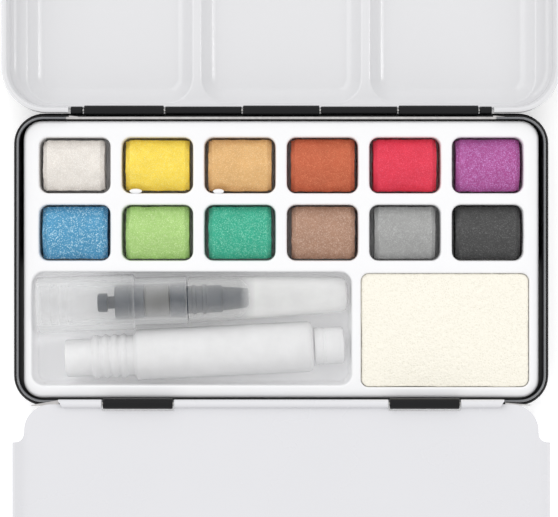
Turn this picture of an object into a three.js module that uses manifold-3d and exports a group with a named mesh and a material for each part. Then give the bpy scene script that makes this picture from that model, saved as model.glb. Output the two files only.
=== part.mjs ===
// Pocket watercolour tin, open on a table: base tin with tray, colours, sponge and a
// two-part water brush, a hinged lid behind and a folding mixing flap in front.
// Millimetres. Origin under the middle of the base tin, +X right, +Y towards the lid, +Z up.
import * as THREE from 'three';
import { mergeVertices } from 'three/addons/utils/BufferGeometryUtils.js';
import Module from 'manifold-3d';

const wasm = await Module();
wasm.setup();

// ---- Driving dimensions -------------------------------------------------------------
const TIN_X = 136; // base tin, overall width
const TIN_Y = 74.3; // base tin, overall depth
const TIN_R = 7.7; // its plan corner radius
const SHEET = 0.6; // tinplate
const GAP = 0.3; // between pieces that touch
const SHOULDER_Z = 11.5; // where the body steps in to the neck
const NECK_Z = 15; // top of the neck
const STEP = 1; // how far the neck stands in
const LID_OVER = 3; // lid rim beyond the body, sides and front
const LID_RIM_Z = 12.3; // lid rim when closed
const LID_DEPTH = 6.1; // rim to ledge
const LID_WELL = 3; // ledge to well floor
const LID_R = 11.7;
const REAR_AXIS_Z = 13;
const REAR_AXIS_OUT = 0.65; // hinge line beyond the body's rear face
const REAR_KNUCKLE = 1.3;
const LID_KNUCKLE = 1.05;
const FRONT_AXIS_Z = 16.5;
const FRONT_AXIS_IN = 0.75; // hinge line inside the body's front face
const FRONT_KNUCKLE = 1.35;
const FLAP_KNUCKLE = 1.05;
const PIN = 0.4;
const FLAP_X = TIN_X - 0.4; // flap across its flanges
const FLAP_LONG = TIN_Y - 3.3; // hinge line to far edge
const FLAP_NECK_X = TIN_X - 6; // flap beside the hinge
const FLANGE = 2;
const FLANGE_START = 7.6; // from the hinge line to where the side flanges begin
const TRAY_Z = 13.7;
const TRAY_SHEET = 0.7;
const WEB_X = 2.85; // tray left between two wells of a row
const WEB_Y = 2.9; // tray left between the two rows, and nearly so before the bays
const REAR_EDGE = 4.2; // tray behind the rear row
const COLOUR_Z = 5; // floor under the colours
const RECESS_Z = SHEET + GAP + TRAY_SHEET;
const SOCKET_R = 7.1; // brush socket, the widest piece of the brush
const BARREL_R = 6.5;
const BRUSH_LONG = 79.3; // socket end to cap end
const BAY_SPARE = 1.6; // room across the bay beyond the socket and the barrel

const halfX = TIN_X / 2;
const halfY = TIN_Y / 2;
const rearY = halfY + REAR_AXIS_OUT;
const frontY = -halfY + FRONT_AXIS_IN;
const neckX = halfX - STEP;
const neckY = halfY - STEP;
const bore = PIN + GAP;
const pitchX = (TIN_X - 10.3) / 6;
const wellX = pitchX - WEB_X;
const rearHinge = halfX - 14.6; // half the rear hinge's length
const neckHalf = FLAP_NECK_X / 2;
const frontHinge = halfX - 12; // half the front hinge's length
const leafGap = 0.2; // from a knuckle's end to the seam between two knuckles

// ---- Geometry helpers ---------------------------------------------------------------
// One rounded rectangle at height z, anticlockwise seen from above.
function ring(hx, hy, r, z, cx = 0, cy = 0, steps = 6) {
  const radius = Math.max(r, 0.05);
  const points = [];
  const corners = [[1, 1], [-1, 1], [-1, -1], [1, -1]];
  corners.forEach(([sx, sy], quarter) => {
    for (let i = 0; i <= steps; i += 1) {
      const angle = (quarter + i / steps) * Math.PI / 2;
      const x = cx + sx * (hx - radius) + radius * Math.cos(angle);
      const y = cy + sy * (hy - radius) + radius * Math.sin(angle);
      points.push(new THREE.Vector3(x, y, z));
    }
  });
  return points;
}

// A closed skin over a stack of rings, capped at both ends.
function loft(rings) {
  const count = rings[0].length;
  const points = rings.flat();
  const index = [];
  for (let k = 0; k + 1 < rings.length; k += 1) {
    for (let i = 0; i < count; i += 1) {
      const a = k * count + i;
      const b = k * count + ((i + 1) % count);
      index.push(a, b, b + count, a, b + count, a + count);
    }
  }
  const last = (rings.length - 1) * count;
  for (let i = 1; i + 1 < count; i += 1) {
    index.push(0, i + 1, i);
    index.push(last, last + i, last + i + 1);
  }
  const geometry = new THREE.BufferGeometry().setFromPoints(points);
  geometry.setIndex(index);
  return geometry;
}

// Rings from [inset, height] pairs measured in from one rounded rectangle.
function stack(hx, hy, r, profile, cx, cy, steps) {
  return loft(profile.map(([inset, z]) => ring(hx - inset, hy - inset, r - inset, z, cx, cy, steps)));
}

function solid(geometry) {
  const bare = new THREE.BufferGeometry();
  bare.setAttribute('position', geometry.getAttribute('position').clone());
  if (geometry.index) bare.setIndex(geometry.index.clone());
  const merged = mergeVertices(bare, 1e-5);
  const tris = [];
  for (let i = 0; i < merged.index.count; i += 3) {
    const a = merged.index.getX(i);
    const b = merged.index.getX(i + 1);
    const c = merged.index.getX(i + 2);
    if (a !== b && b !== c && c !== a) tris.push(a, b, c);
  }
  const mesh = new wasm.Mesh({
    numProp: 3,
    vertProperties: new Float32Array(merged.getAttribute('position').array),
    triVerts: new Uint32Array(tris),
  });
  mesh.merge();
  return new wasm.Manifold(mesh);
}

function surface(shape) {
  const mesh = shape.getMesh();
  const geometry = new THREE.BufferGeometry();
  const position = new THREE.BufferAttribute(new Float32Array(mesh.vertProperties), 3);
  geometry.setAttribute('position', position);
  geometry.setIndex(new THREE.BufferAttribute(new Uint32Array(mesh.triVerts), 1));
  return geometry;
}

function box(x0, x1, y0, y1, z0, z1) {
  const geometry = new THREE.BoxGeometry(x1 - x0, y1 - y0, z1 - z0);
  geometry.translate((x0 + x1) / 2, (y0 + y1) / 2, (z0 + z1) / 2);
  return solid(geometry);
}

// A round rod along X between x0 and x1.
function rod(radius, x0, x1, y, z, sides = 16) {
  const geometry = new THREE.CylinderGeometry(radius, radius, x1 - x0, sides);
  geometry.rotateZ(Math.PI / 2);
  geometry.translate((x0 + x1) / 2, y, z);
  return solid(geometry);
}

// A turned piece: [along, radius] points round a closed outline, laid along `from` -> `to`.
function turned(profile, from, to, sides = 24) {
  const outline = profile.map(([along, radius]) => new THREE.Vector2(radius, along));
  if (outline[0].x > 0) outline.push(outline[0].clone());
  const geometry = new THREE.LatheGeometry(outline, sides);
  const direction = to.clone().sub(from).normalize();
  const turn = new THREE.Quaternion().setFromUnitVectors(new THREE.Vector3(0, 1, 0), direction);
  geometry.applyQuaternion(turn);
  geometry.translate(from.x, from.y, from.z);
  return surface(solid(geometry));
}

const group = new THREE.Group();
function add(name, geometry, color, roughness = 0.4, metalness = 0) {
  const flat = geometry.index ? geometry.toNonIndexed() : geometry;
  flat.computeVertexNormals();
  const material = new THREE.MeshStandardMaterial({ color, roughness, metalness });
  const mesh = new THREE.Mesh(flat, material);
  mesh.name = name;
  group.add(mesh);
}

// ---- Base tin -----------------------------------------------------------------------
// Drawn body, a shoulder and a neck whose lip is rolled; the inside follows one sheet in.
const inShoulder = SHOULDER_Z - SHEET;
let base = solid(stack(halfX, halfY, TIN_R, [
  [1.3, 0],
  [0.4, 0.35],
  [0, 1.2],
  [0, SHOULDER_Z - 0.35],
  [0.35, SHOULDER_Z],
  [STEP, SHOULDER_Z],
  [STEP, NECK_Z - 0.45],
  [STEP + 0.1, NECK_Z - 0.12],
  [STEP + 0.3, NECK_Z],
  [STEP + 0.5, NECK_Z - 0.12],
  [STEP + SHEET, NECK_Z - 0.45],
  [STEP + SHEET, inShoulder],
  [SHEET, inShoulder - 0.4],
  [SHEET, 1.4],
  [1.6, SHEET],
]));

// Rear knuckles stand on the shoulder, front knuckles on top of the neck.
const rearSeams = [9.9, 29.6, 50.2].map((x) => x * rearHinge / 53.4);
const rearBase = [
  [-rearSeams[2] + leafGap, -rearSeams[1] - leafGap],
  [-rearSeams[0] + leafGap, rearSeams[0] - leafGap],
  [rearSeams[1] + leafGap, rearSeams[2] - leafGap],
];
rearBase.forEach(([x0, x1]) => {
  base = base.add(rod(REAR_KNUCKLE, x0, x1, rearY, REAR_AXIS_Z, 20));
  base = base.add(box(x0, x1, halfY - SHEET, halfY, SHOULDER_Z - 0.5, REAR_AXIS_Z));
});
const frontSeams = [27.25, 45.15].map((x) => x * frontHinge / 56);
const frontBase = [
  [-frontSeams[1] + leafGap / 2, -frontSeams[0] - leafGap / 2],
  [frontSeams[0] + leafGap / 2, frontSeams[1] - leafGap / 2],
];
frontBase.forEach(([x0, x1]) => {
  base = base.add(rod(FRONT_KNUCKLE, x0, x1, frontY, FRONT_AXIS_Z, 20));
  base = base.add(box(x0, x1, -neckY + 0.02, -neckY + SHEET - 0.02, NECK_Z - 1, FRONT_AXIS_Z));
});
base = base.subtract(rod(bore, -halfX, halfX, rearY, REAR_AXIS_Z, 12));
base = base.subtract(rod(bore, -halfX, halfX, frontY, FRONT_AXIS_Z, 12));
add('base_tin', surface(base), 0x1a1a1c, 0.25);

// ---- Lid, swung fully open ----------------------------------------------------------
// Everything below is placed for the open pose, which mirrors the closed heights.
const lidRim = 2 * REAR_AXIS_Z - LID_RIM_Z;
const lidLedge = lidRim - LID_DEPTH;
const lidX = halfX + LID_OVER;
const lidNear = 2 * rearY - (halfY + 1.3);
const lidFar = 2 * rearY + halfY + LID_OVER;
const lidY = (lidFar - lidNear) / 2;
const lidMid = (lidFar + lidNear) / 2;
const fillet = [0, 22.5, 45, 67.5, 90].map((degrees) => THREE.MathUtils.degToRad(degrees));
let lid = solid(stack(lidX, lidY, LID_R, [
  ...fillet.map((a) => [3.9 - (2 + SHEET) * Math.sin(a), lidLedge + 2 - (2 + SHEET) * Math.cos(a)]),
  [0.8, lidRim - 1.15],
  [0.25, lidRim - 1.05],
  [0, lidRim - 0.6],
  [0.2, lidRim - 0.15],
  [0.7, lidRim],
  [1.2, lidRim - 0.12],
  [1.45, lidRim - 0.6],
  ...fillet.slice().reverse().map((a) => [3.9 - 2 * Math.sin(a), lidLedge + 2 - 2 * Math.cos(a)]),
], 0, lidMid, 8));

// Three mixing wells pressed through the lid's panel.
const wellSide = lidX - 6.4; // outer edge of the outer wells
const wellSplit = wellSide / 3;
const wellEdges = [
  [-wellSide, -wellSplit - 1.57],
  [-wellSplit + 1.43, wellSplit - 1.43],
  [wellSplit + 1.57, wellSide],
];
const wellNear = lidNear + 3.4;
const wellFar = lidFar - 6;
const wellY = (wellFar - wellNear) / 2;
const wellMid = (wellFar + wellNear) / 2;
wellEdges.forEach(([x0, x1]) => {
  const hx = (x1 - x0) / 2;
  const cx = (x0 + x1) / 2;
  lid = lid.add(solid(stack(hx + SHEET, wellY + SHEET, 6 + SHEET, [
    [4.6, lidLedge - LID_WELL - SHEET],
    [3.5, lidLedge - LID_WELL - SHEET + 0.3],
    [0.6, lidLedge - SHEET - 0.2],
    [0.2, lidLedge - SHEET + 0.2],
  ], cx, wellMid, 5)));
});
wellEdges.forEach(([x0, x1]) => {
  const hx = (x1 - x0) / 2;
  const cx = (x0 + x1) / 2;
  lid = lid.subtract(solid(stack(hx, wellY, 6, [
    [4.2, lidLedge - LID_WELL],
    [3.2, lidLedge - LID_WELL + 0.3],
    [0.5, lidLedge - 0.3],
    [0, lidLedge],
    [0, lidLedge + 0.5],
  ], cx, wellMid, 5)));
});

// The rear skirt is cut back for the hinge, the front skirt for the flap folded out.
const cutDepth = 2 * REAR_AXIS_Z - (REAR_AXIS_Z + REAR_KNUCKLE + 0.4);
lid = lid.subtract(box(-rearHinge - 0.6, rearHinge + 0.6, lidNear - 1, lidNear + 3.2, cutDepth, lidRim + 1));
const slotZ = 2 * REAR_AXIS_Z - (FRONT_AXIS_Z - 0.1);
lid = lid.subtract(box(-neckHalf + 0.2, neckHalf - 0.2, lidFar - 4.4, lidFar + 1, slotZ, lidRim + 1));
const rearLid = [
  [-rearHinge, -rearSeams[2] - leafGap],
  [-rearSeams[1] + leafGap, -rearSeams[0] - leafGap],
  [rearSeams[0] + leafGap, rearSeams[1] - leafGap],
  [rearSeams[2] + leafGap, rearHinge],
];
rearLid.forEach(([x0, x1]) => {
  lid = lid.add(rod(LID_KNUCKLE, x0, x1, rearY, REAR_AXIS_Z, 18));
  lid = lid.add(box(x0, x1, rearY + 0.4, rearY + 1, cutDepth - 0.5, REAR_AXIS_Z));
});
lid = lid.subtract(rod(bore, -rearHinge - 0.4, rearHinge + 0.4, rearY, REAR_AXIS_Z, 12));
add('lid', surface(lid), 0xe9e9ec, 0.3);

// ---- Flap, folded out level ---------------------------------------------------------
// A shallow dish: flat beside the hinge, flanges up along the sides and the far edge.
const plateZ = FRONT_AXIS_Z - FLAP_KNUCKLE;
const flapMid = frontY - FLAP_LONG / 2;
const dishFar = frontY - FLAP_LONG;
const dishNear = frontY - 0.2;
const dishY = (dishNear - dishFar) / 2;
const dishMid = (dishNear + dishFar) / 2;
let flap = solid(stack(FLAP_X / 2, FLAP_LONG / 2, 9, [
  [3.4, plateZ],
  [2.7, plateZ + 0.15],
  [0.5, plateZ + FLANGE - 0.45],
  [0, plateZ + FLANGE - 0.35],
  [0, plateZ + FLANGE],
  [0.5, plateZ + FLANGE + 0.1],
  [2.9, plateZ + SHEET + 0.2],
  [3.6, plateZ + SHEET],
], 0, flapMid, 6));
const flangeStart = frontY - FLANGE_START;
flap = flap.subtract(box(-halfX - 2, halfX + 2, flangeStart, frontY + 2, plateZ - 1, plateZ + FLANGE + 1));
flap = flap.add(solid(stack(neckHalf, dishY - 4, 6.7, [
  [0, plateZ],
  [0, plateZ + SHEET],
], 0, dishMid + 4, 6)));
const flapBarrels = [
  [-frontHinge, -frontSeams[1] - leafGap / 2],
  [-frontSeams[0] + leafGap / 2, frontSeams[0] - leafGap / 2],
  [frontSeams[1] + leafGap / 2, frontHinge],
];
flapBarrels.forEach(([x0, x1]) => {
  flap = flap.add(rod(FLAP_KNUCKLE, x0, x1, frontY, FRONT_AXIS_Z, 18));
});
frontBase.forEach(([x0, x1]) => {
  const reach = frontY - FRONT_KNUCKLE - 0.45;
  flap = flap.subtract(box(x0 - GAP, x1 + GAP, reach, frontY + 2, plateZ - 1, plateZ + 4));
});
flap = flap.subtract(rod(bore, -frontHinge - 0.5, frontHinge + 0.5, frontY, FRONT_AXIS_Z, 12));
add('flap', surface(flap), 0xececee, 0.3);

add('rear_hinge_pin', surface(rod(PIN, -rearHinge + 0.2, rearHinge - 0.2, rearY, REAR_AXIS_Z, 10)), 0xb9bbbd, 0.3, 1);
add('front_hinge_pin', surface(rod(PIN, -frontHinge + 0.6, frontHinge - 0.6, frontY, FRONT_AXIS_Z, 10)), 0xb9bbbd, 0.3, 1);

// ---- Tray ---------------------------------------------------------------------------
// Vacuum-formed sheet: top and skirt, with the wells and two recesses hanging below it.
const trayX = neckX - SHEET - 1.05;
const trayFront = -neckY + SHEET + 0.5;
const trayRear = neckY - SHEET - 0.35;
const trayY = (trayRear - trayFront) / 2;
const trayMid = (trayRear + trayFront) / 2;
const recessZ = RECESS_Z;
const bayWide = 2 * (SOCKET_R + BARREL_R) + BAY_SPARE;
const brushBay = { x0: -trayX + 2.15, y0: trayFront + 3.15 };
brushBay.x1 = brushBay.x0 + BRUSH_LONG + 1.8;
brushBay.y1 = brushBay.y0 + bayWide;
const spongeBay = { x0: brushBay.x1 + 2.3, x1: trayX - 2.45, y0: trayFront + 2.65, y1: brushBay.y1 - 0.4 };
const cakeWellY = (trayRear - REAR_EDGE - WEB_Y - WEB_Y + 0.1 - brushBay.y1) / 2;
const colourRows = [trayRear - REAR_EDGE - cakeWellY / 2, trayRear - REAR_EDGE - WEB_Y - 1.5 * cakeWellY];
const hollows = [];
colourRows.forEach((cy) => {
  for (let column = 0; column < 6; column += 1) {
    const cx = (column - 2.5) * pitchX;
    hollows.push({ cx, cy, hx: wellX / 2, hy: cakeWellY / 2, r: 2.3, floor: COLOUR_Z, draft: 0.2 });
  }
});
[[brushBay, 3, 0.4], [spongeBay, 2, 0.3]].forEach(([bay, r, draft]) => {
  const hx = (bay.x1 - bay.x0) / 2;
  const hy = (bay.y1 - bay.y0) / 2;
  hollows.push({
    cx: bay.x0 + hx, cy: bay.y0 + hy, hx, hy, r, floor: recessZ, draft,
  });
});
let tray = solid(stack(trayX, trayY, 4.6, [
  [0, SHEET + GAP],
  [0, TRAY_Z - 0.9],
  [0.3, TRAY_Z - 0.25],
  [0.9, TRAY_Z],
], 0, trayMid, 4));
tray = tray.subtract(solid(stack(trayX - TRAY_SHEET, trayY - TRAY_SHEET, 3.9, [
  [0, 0],
  [0, TRAY_Z - TRAY_SHEET - 0.5],
  [0.5, TRAY_Z - TRAY_SHEET],
], 0, trayMid, 4)));
hollows.forEach(({ cx, cy, hx, hy, r, floor, draft }) => {
  const skin = TRAY_SHEET;
  tray = tray.add(solid(stack(hx + skin, hy + skin, r + skin, [
    [draft, floor - skin],
    [0, TRAY_Z - skin],
    [0, TRAY_Z - 0.2],
  ], cx, cy, 3)));
});
hollows.forEach(({ cx, cy, hx, hy, r, floor, draft }) => {
  tray = tray.subtract(solid(stack(hx, hy, r, [
    [draft + 0.3, floor],
    [draft, floor + 0.3],
    [0.25, TRAY_Z - 0.5],
    [-0.25, TRAY_Z],
    [-0.25, TRAY_Z + 0.5],
  ], cx, cy, 3)));
});
add('tray', surface(tray), 0xf6f6f6, 0.45);

// ---- Colours ------------------------------------------------------------------------
// Each is a loaf: square ends, crown rounded front to back.
const colours = [ // name, colour, shift along the well, end to end and side to side play
  ['paint_pearl', 0xe6e1d7, -0.3, 2.4, 2.0], ['paint_yellow', 0xfae13c, 0, 1.8, 1.9],
  ['paint_gold', 0xdca55a, 0, 1.9, 1.7], ['paint_copper', 0xbe552d, 0.1, 1.8, 1.5],
  ['paint_red', 0xd72341, 0, 1.9, 1.5], ['paint_violet', 0xa54196, 0.1, 1.7, 1.5],
  ['paint_blue', 0x3278af, 0, 1.5, 1.5], ['paint_lime', 0x96cd5a, 0, 1.9, 1.5],
  ['paint_green', 0x1e9b6e, 0, 2.0, 1.5], ['paint_bronze', 0xa57d64, 0.2, 1.9, 1.5],
  ['paint_silver', 0x828787, 0, 2.5, 1.5], ['paint_black', 0x323234, 0.1, 1.6, 1.5],
];
colours.forEach(([name, color, shift, endPlay, sidePlay], i) => {
  const long = wellX - endPlay;
  const wide = cakeWellY - sidePlay;
  const cx = (i % 6 - 2.5) * pitchX + shift;
  const cy = colourRows[Math.floor(i / 6)];
  const crown = TRAY_Z + 0.6;
  const chamfer = 0.7;
  const side = COLOUR_Z + GAP;
  const outline = new THREE.Shape();
  outline.moveTo(-wide / 2 + 0.8, side);
  outline.lineTo(wide / 2 - 0.8, side);
  outline.lineTo(wide / 2, crown - 2.6);
  outline.quadraticCurveTo(wide / 2 - 0.6, crown - 0.3, 0, crown);
  outline.quadraticCurveTo(-wide / 2 + 0.6, crown - 0.3, -wide / 2, crown - 2.6);
  outline.closePath();
  const loaf = new THREE.ExtrudeGeometry(outline, {
    depth: long - 2 * chamfer,
    bevelEnabled: true,
    bevelThickness: chamfer,
    bevelSize: chamfer,
    bevelOffset: -chamfer,
    bevelSegments: 1,
    curveSegments: 6,
  });
  loaf.rotateX(Math.PI / 2);
  loaf.rotateZ(Math.PI / 2);
  loaf.translate(cx - long / 2 + chamfer, cy, 0);
  add(name, surface(solid(loaf)), color, 0.6);
});

// ---- Sponge -------------------------------------------------------------------------
const spongeX = (spongeBay.x1 - spongeBay.x0) / 2 - 0.7;
const spongeY = (spongeBay.y1 - spongeBay.y0) / 2 - 0.55;
add('sponge', surface(solid(stack(spongeX, spongeY, 1.6, [
  [0.4, recessZ + GAP],
  [0, recessZ + GAP + 0.5],
  [0, TRAY_Z - 0.9],
  [0.5, TRAY_Z - 0.3],
], (spongeBay.x0 + spongeBay.x1) / 2, (spongeBay.y0 + spongeBay.y1) / 2, 3))), 0xfaf8eb, 0.95);

// ---- Brush head, lying along the rear of its bay ------------------------------------
// The socket rests on the floor of the bay and carries the rest level.
const headX = brushBay.x0 + 1.1;
const headY = brushBay.y1 - SOCKET_R - 1.45;
const headZ = recessZ + GAP + SOCKET_R;
const headFrom = new THREE.Vector3(headX, headY, headZ);
const headTo = new THREE.Vector3(headX + BRUSH_LONG, headY + 2.8, headZ);
const collar = 24.9;
add('brush_socket', turned([
  [1.6, 6.2], [0.8, 6.5], [0.2, 6.75], [0, 6.95], [1, SOCKET_R], [collar - 0.6, SOCKET_R],
  [collar, 6.6], [collar, 6.15], [38.2, 6.15], [38.2, 5.2], [16, 5.2], [14.6, 5.6], [9.6, 5.9],
  [9.1, 6.2], [8.3, 6.2], [7.8, 5.9], [6.9, 6.2], [6.1, 6.2], [5.6, 5.9],
  [4.7, 6.2], [3.9, 6.2], [3.4, 5.9], [2.4, 6.2],
], headFrom, headTo), 0xdfe3e6, 0.1);
add('brush_feed', turned([
  [15.3, 0], [15.3, 2.1], [15.6, 2.4], [17.7, 2.4], [17.9, 1.6], [19.6, 1.6], [19.8, 4.3],
  [20.1, 4.5], [27.1, 4.5], [27.3, 4.3], [27.3, 0],
], headFrom, headTo), 0x6f7982, 0.4);
add('brush_wick', turned([
  [27.6, 0], [27.6, 4.3], [33.6, 4.3], [33.6, 0],
], headFrom, headTo), 0x949492, 0.9);
add('brush_ferrule', turned([
  [33.9, 0], [33.9, 4.3], [34.1, 4.5], [37.7, 4.5], [38, 3.6], [39.4, 3.5], [39.6, 3.8],
  [40.4, 3.8], [40.6, 3.5], [42, 3.5], [42.2, 3.8], [43, 3.8], [43.2, 3.5], [46.8, 3.5],
  [47.4, 3], [49.4, 2.9], [53.8, 2.45], [53.8, 2.1], [50.4, 2.1], [50.4, 0],
], headFrom, headTo), 0x6a757e, 0.35);
add('brush_bristles', turned([
  [50.7, 0], [50.7, 1.8], [54.4, 1.8], [57, 2.2], [60, 2], [64, 1.3], [68, 0.5], [69.4, 0],
], headFrom, headTo, 16), 0xd9d4c8, 0.7);
add('brush_cap', turned([
  [38.5, 5.2], [38.5, 5.7], [38.9, 5.85], [45, 5.8], [60, 5.3], [74, 4.7], [77.4, 4.5],
  [78.6, 3.9], [79.2, 2.4], [79.3, 0], [78.2, 0], [77.9, 2.2], [77, 3.3], [74, 4],
  [60, 4.6], [45, 5.1],
], headFrom, headTo), 0xe6e8ea, 0.3);

// ---- Barrel of the brush, lying in front of the head ---------------------------------
const barrelZ = recessZ + GAP + BARREL_R;
const barrelY = brushBay.y0 + BARREL_R + 0.1;
const barrelFrom = new THREE.Vector3(brushBay.x0 + 8.3, barrelY, barrelZ);
const barrelTo = new THREE.Vector3(brushBay.x0 + 79.5, barrelY + 3.5, barrelZ);
const crests = [7.9, 10.3, 12.6, 14.9];
add('barrel', turned([
  [0, 3.9], [0, 4.6], [0.4, 4.8], [6.9, 4.8],
  ...crests.flatMap((at) => [[at - 0.9, 5.15], [at - 0.3, 5.7], [at + 0.3, 5.7], [at + 0.9, 5.15]]),
  [17.5, 5.15], [18, 6], [18.6, BARREL_R], [61.8, BARREL_R], [62.8, 6], [63.2, 5],
  [63.2, 0], [62, 0], [62, 4.8], [61.2, 5.6], [19.4, 5.6], [18, 3.9],
], barrelFrom, barrelTo), 0xeaeaea, 0.5);
add('barrel_plug', turned([
  [63.5, 0], [63.5, 4.6], [63.8, 4.75], [70.3, 4.75], [71.1, 3.9], [71.2, 0],
], barrelFrom, barrelTo), 0xe4e4e4, 0.45);

export default group;
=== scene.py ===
import math

import bmesh
import bpy
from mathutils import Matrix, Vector


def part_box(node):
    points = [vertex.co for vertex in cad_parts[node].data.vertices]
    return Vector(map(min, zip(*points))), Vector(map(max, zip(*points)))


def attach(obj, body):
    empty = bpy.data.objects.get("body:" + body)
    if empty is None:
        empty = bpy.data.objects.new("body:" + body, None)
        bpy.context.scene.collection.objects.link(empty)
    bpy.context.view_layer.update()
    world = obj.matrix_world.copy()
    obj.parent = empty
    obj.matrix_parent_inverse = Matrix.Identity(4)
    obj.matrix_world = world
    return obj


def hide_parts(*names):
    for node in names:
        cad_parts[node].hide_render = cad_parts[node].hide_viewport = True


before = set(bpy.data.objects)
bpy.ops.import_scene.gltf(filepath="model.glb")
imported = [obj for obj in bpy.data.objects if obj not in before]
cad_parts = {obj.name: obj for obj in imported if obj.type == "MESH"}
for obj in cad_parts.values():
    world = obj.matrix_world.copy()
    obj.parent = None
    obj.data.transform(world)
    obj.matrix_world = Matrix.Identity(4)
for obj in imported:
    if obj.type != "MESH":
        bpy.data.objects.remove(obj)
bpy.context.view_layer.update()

bpy.ops.object.select_all(action="DESELECT")


# ---- Table, light and camera ---------------------------------------------------------
# The tin lies on a white table under a big soft window of light from the upper left,
# and is looked at from straight above.
scene = bpy.context.scene
scene.view_settings.view_transform = "Standard"
scene.view_settings.look = "None"

room = bpy.data.worlds.new("studio")
room.use_nodes = True
room.node_tree.nodes["Background"].inputs["Color"].default_value = (1.0, 1.0, 1.0, 1)
room.node_tree.nodes["Background"].inputs["Strength"].default_value = 0.93
scene.world = room

bpy.ops.mesh.primitive_plane_add(size=4, location=(0, 0, -0.0004))
table = bpy.context.object
table.name = "table"
bpy.ops.object.transform_apply(location=True, rotation=True, scale=True)
table_white = bpy.data.materials.new("table_white")
table_white.use_nodes = True
table_gloss = table_white.node_tree.nodes["Principled BSDF"]
table_gloss.inputs["Base Color"].default_value = (0.97, 0.97, 0.97, 1)
table_gloss.inputs["Roughness"].default_value = 0.9
table_gloss.inputs["Emission Color"].default_value = (1, 1, 1, 1)
table_gloss.inputs["Emission Strength"].default_value = 0.3
table.data.materials.append(table_white)


def softbox(name, place, size, power):
    """A soft rectangular lamp that points at the tin."""
    lamp = bpy.data.lights.new(name, "AREA")
    lamp.shape = "RECTANGLE"
    lamp.size, lamp.size_y = size
    lamp.energy = power
    holder = bpy.data.objects.new(name, lamp)
    scene.collection.objects.link(holder)
    holder.location = place
    holder.rotation_euler = (-Vector(place)).to_track_quat("-Z", "Y").to_euler()


softbox("window", (-0.75, 0.5, 0.8), (1.2, 1.0), 4.0)
softbox("strip", (0.62, 0.1, 0.62), (0.08, 0.6), 1.0)

lens = bpy.data.cameras.new("camera")
camera_above = 650  # millimetres from the lens down to the top of the tin
seen_across = 141.2  # millimetres that the picture shows there from side to side
lens.sensor_width = 36
lens.lens = lens.sensor_width * camera_above / seen_across
camera = bpy.data.objects.new("camera", lens)
scene.collection.objects.link(camera)
camera.location = (-0.00056, 0.00025, 0.665)
scene.camera = camera


# ---- Base tin ------------------------------------------------------------------------
# Drawn from one piece of tinplate, stepped in to a neck with a rolled lip, and lacquered
# black. Hinge knuckles are rolled out of its rear wall and out of the front of the neck.
MM = 0.001


def plate(name, wide, deep, corner, z, centre=(0, 0), steps=10):
    """A flat rounded blank at height z, in millimetres, left in edit mode and selected."""
    bpy.ops.mesh.primitive_plane_add(size=1, location=(centre[0] * MM, centre[1] * MM, z * MM))
    piece = bpy.context.object
    piece.name = name
    piece.scale = (wide * MM, deep * MM, 1)
    bpy.ops.object.transform_apply(location=True, rotation=True, scale=True)
    bpy.ops.object.mode_set(mode="EDIT")
    bpy.ops.mesh.select_mode(type="FACE")
    bpy.ops.mesh.select_all(action="SELECT")
    bpy.ops.mesh.bevel(offset=corner * MM, segments=steps, affect="VERTICES")
    bpy.ops.mesh.select_all(action="SELECT")
    return piece


def lift(rise):
    """Extrudes the selected face straight up or down."""
    bpy.ops.mesh.extrude_region_move(TRANSFORM_OT_translate={"value": (0, 0, rise * MM)})


def press(steps):
    """Carries the selected face through (further in, up or down) steps."""
    for inward, rise in steps:
        if inward == 0:
            lift(rise)
            continue
        bpy.ops.mesh.inset(thickness=inward * MM, depth=0)
        if rise:
            bpy.ops.transform.translate(value=(0, 0, rise * MM))


def roll(radius, degrees, count=4):
    """Steps over a rounded edge, from level to nearly upright."""
    steps, last = [], (0.0, 0.0)
    for i in range(1, count + 1):
        turn = math.radians(degrees) * i / count
        here = (radius * math.sin(turn), -radius * (1 - math.cos(turn)))
        steps.append((here[0] - last[0], here[1] - last[1]))
        last = here
    return steps


def split_flats(piece):
    """Splits every many-sided face into small ones, so that holes in it stay holes."""
    alone(piece)
    bpy.ops.object.mode_set(mode="EDIT")
    pick(lambda face: len(face.verts) > 8)
    bpy.ops.mesh.quads_convert_to_tris(quad_method="BEAUTY", ngon_method="BEAUTY")
    leave(0.0005)


def pick(test, kind="FACE"):
    """Selects the faces or edges for which test is true."""
    bpy.ops.mesh.select_mode(type=kind)
    bpy.ops.mesh.select_all(action="DESELECT")
    live = bmesh.from_edit_mesh(bpy.context.object.data)
    for part in live.faces if kind == "FACE" else live.edges:
        if test(part):
            part.select_set(True)
    live.select_flush_mode()
    bmesh.update_edit_mesh(bpy.context.object.data)


def leave(merge=0.002):
    """Merges doubles, turns the faces out and goes back to object mode."""
    bpy.ops.mesh.select_all(action="SELECT")
    bpy.ops.mesh.remove_doubles(threshold=merge * MM)
    bpy.ops.mesh.normals_make_consistent(inside=False)
    bpy.ops.object.mode_set(mode="OBJECT")


def alone(piece):
    bpy.ops.object.select_all(action="DESELECT")
    piece.select_set(True)
    bpy.context.view_layer.objects.active = piece


def together(pieces, name):
    """Joins several pieces into one."""
    bpy.ops.object.select_all(action="DESELECT")
    for piece in pieces:
        piece.select_set(True)
    bpy.context.view_layer.objects.active = pieces[0]
    if len(pieces) > 1:
        bpy.ops.object.join()
    pieces[0].name = name
    return pieces[0]


def fit(piece, tool, how):
    """Cuts tool out of piece, or welds it on."""
    alone(piece)
    joint = piece.modifiers.new("fit", "BOOLEAN")
    joint.operation = how
    joint.solver = "EXACT"
    joint.object = tool
    bpy.ops.object.modifier_apply(modifier=joint.name)
    bpy.data.objects.remove(tool, do_unlink=True)


def smooth(piece, degrees=32):
    alone(piece)
    bpy.ops.object.shade_smooth_by_angle(angle=math.radians(degrees))


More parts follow.
